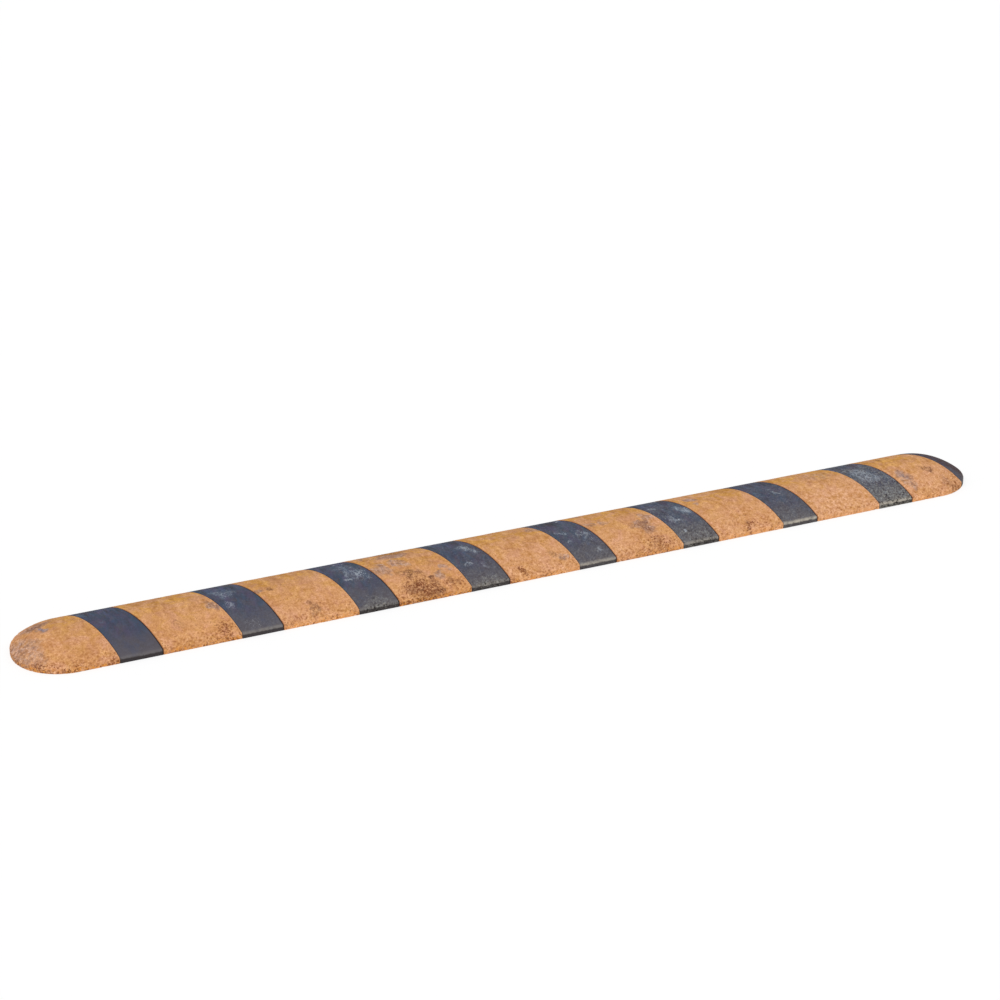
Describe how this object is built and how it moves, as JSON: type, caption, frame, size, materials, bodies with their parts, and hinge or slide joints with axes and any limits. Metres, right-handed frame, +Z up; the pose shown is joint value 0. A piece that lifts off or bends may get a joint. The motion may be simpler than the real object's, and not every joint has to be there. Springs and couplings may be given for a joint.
{
  "type": "speed bump",
  "caption": "Long low modular speed bump: a dome on a short lip with round ends and slanted yellow and dark rubber modules, pinned and bonded to a road to slow vehicles.",
  "frame": {"origin": "on the ground under the middle of the bump", "axes": "+X along the bump towards the dark end, +Y across it, +Z up"},
  "size_m": [3.084, 0.3, 0.068],
  "materials": {
    "yellow_rubber": "worn orange-yellow, grainy and matte, with brown specks",
    "dark_rubber": "slate dark, satin, scuffed pale near the crest",
    "bonding_pad": "black butyl, matte",
    "dowel_steel": "plain ground steel",
    "sleeve_steel": "galvanised, dull"
  },
  "bodies": {
    "root": {"yellow_end_module": "yellow_rubber", "dark_module_1": "dark_rubber", "yellow_module_1": "yellow_rubber", "dark_module_2": "dark_rubber", "yellow_module_2": "yellow_rubber", "dark_module_3": "dark_rubber", "yellow_module_3": "yellow_rubber", "dark_module_4": "dark_rubber", "yellow_module_4": "yellow_rubber", "dark_module_5": "dark_rubber", "yellow_module_5": "yellow_rubber", "dark_module_6": "dark_rubber", "yellow_module_6": "yellow_rubber", "dark_module_7": "dark_rubber", "yellow_module_7": "yellow_rubber", "dark_module_8": "dark_rubber", "yellow_module_8": "yellow_rubber", "dark_end_module": "dark_rubber", "yellow_end_module_pads": "bonding_pad", "dark_module_1_pads": "bonding_pad", "yellow_module_1_pads": "bonding_pad", "dark_module_2_pads": "bonding_pad", "yellow_module_2_pads": "bonding_pad", "dark_module_3_pads": "bonding_pad", "yellow_module_3_pads": "bonding_pad", "dark_module_4_pads": "bonding_pad", "yellow_module_4_pads": "bonding_pad", "dark_module_5_pads": "bonding_pad", "yellow_module_5_pads": "bonding_pad", "dark_module_6_pads": "bonding_pad", "yellow_module_6_pads": "bonding_pad", "dark_module_7_pads": "bonding_pad", "yellow_module_7_pads": "bonding_pad", "dark_module_8_pads": "bonding_pad", "yellow_module_8_pads": "bonding_pad", "dark_end_module_pads": "bonding_pad", "joint_1_dowels": "dowel_steel", "joint_2_dowels": "dowel_steel", "joint_3_dowels": "dowel_steel", "joint_4_dowels": "dowel_steel", "joint_5_dowels": "dowel_steel", "joint_6_dowels": "dowel_steel", "joint_7_dowels": "dowel_steel", "joint_8_dowels": "dowel_steel", "joint_9_dowels": "dowel_steel", "joint_10_dowels": "dowel_steel", "joint_11_dowels": "dowel_steel", "joint_12_dowels": "dowel_steel", "joint_13_dowels": "dowel_steel", "joint_14_dowels": "dowel_steel", "joint_15_dowels": "dowel_steel", "joint_16_dowels": "dowel_steel", "joint_17_dowels": "dowel_steel", "anchor_sleeves": "sleeve_steel"}
  },
  "joints": []
}
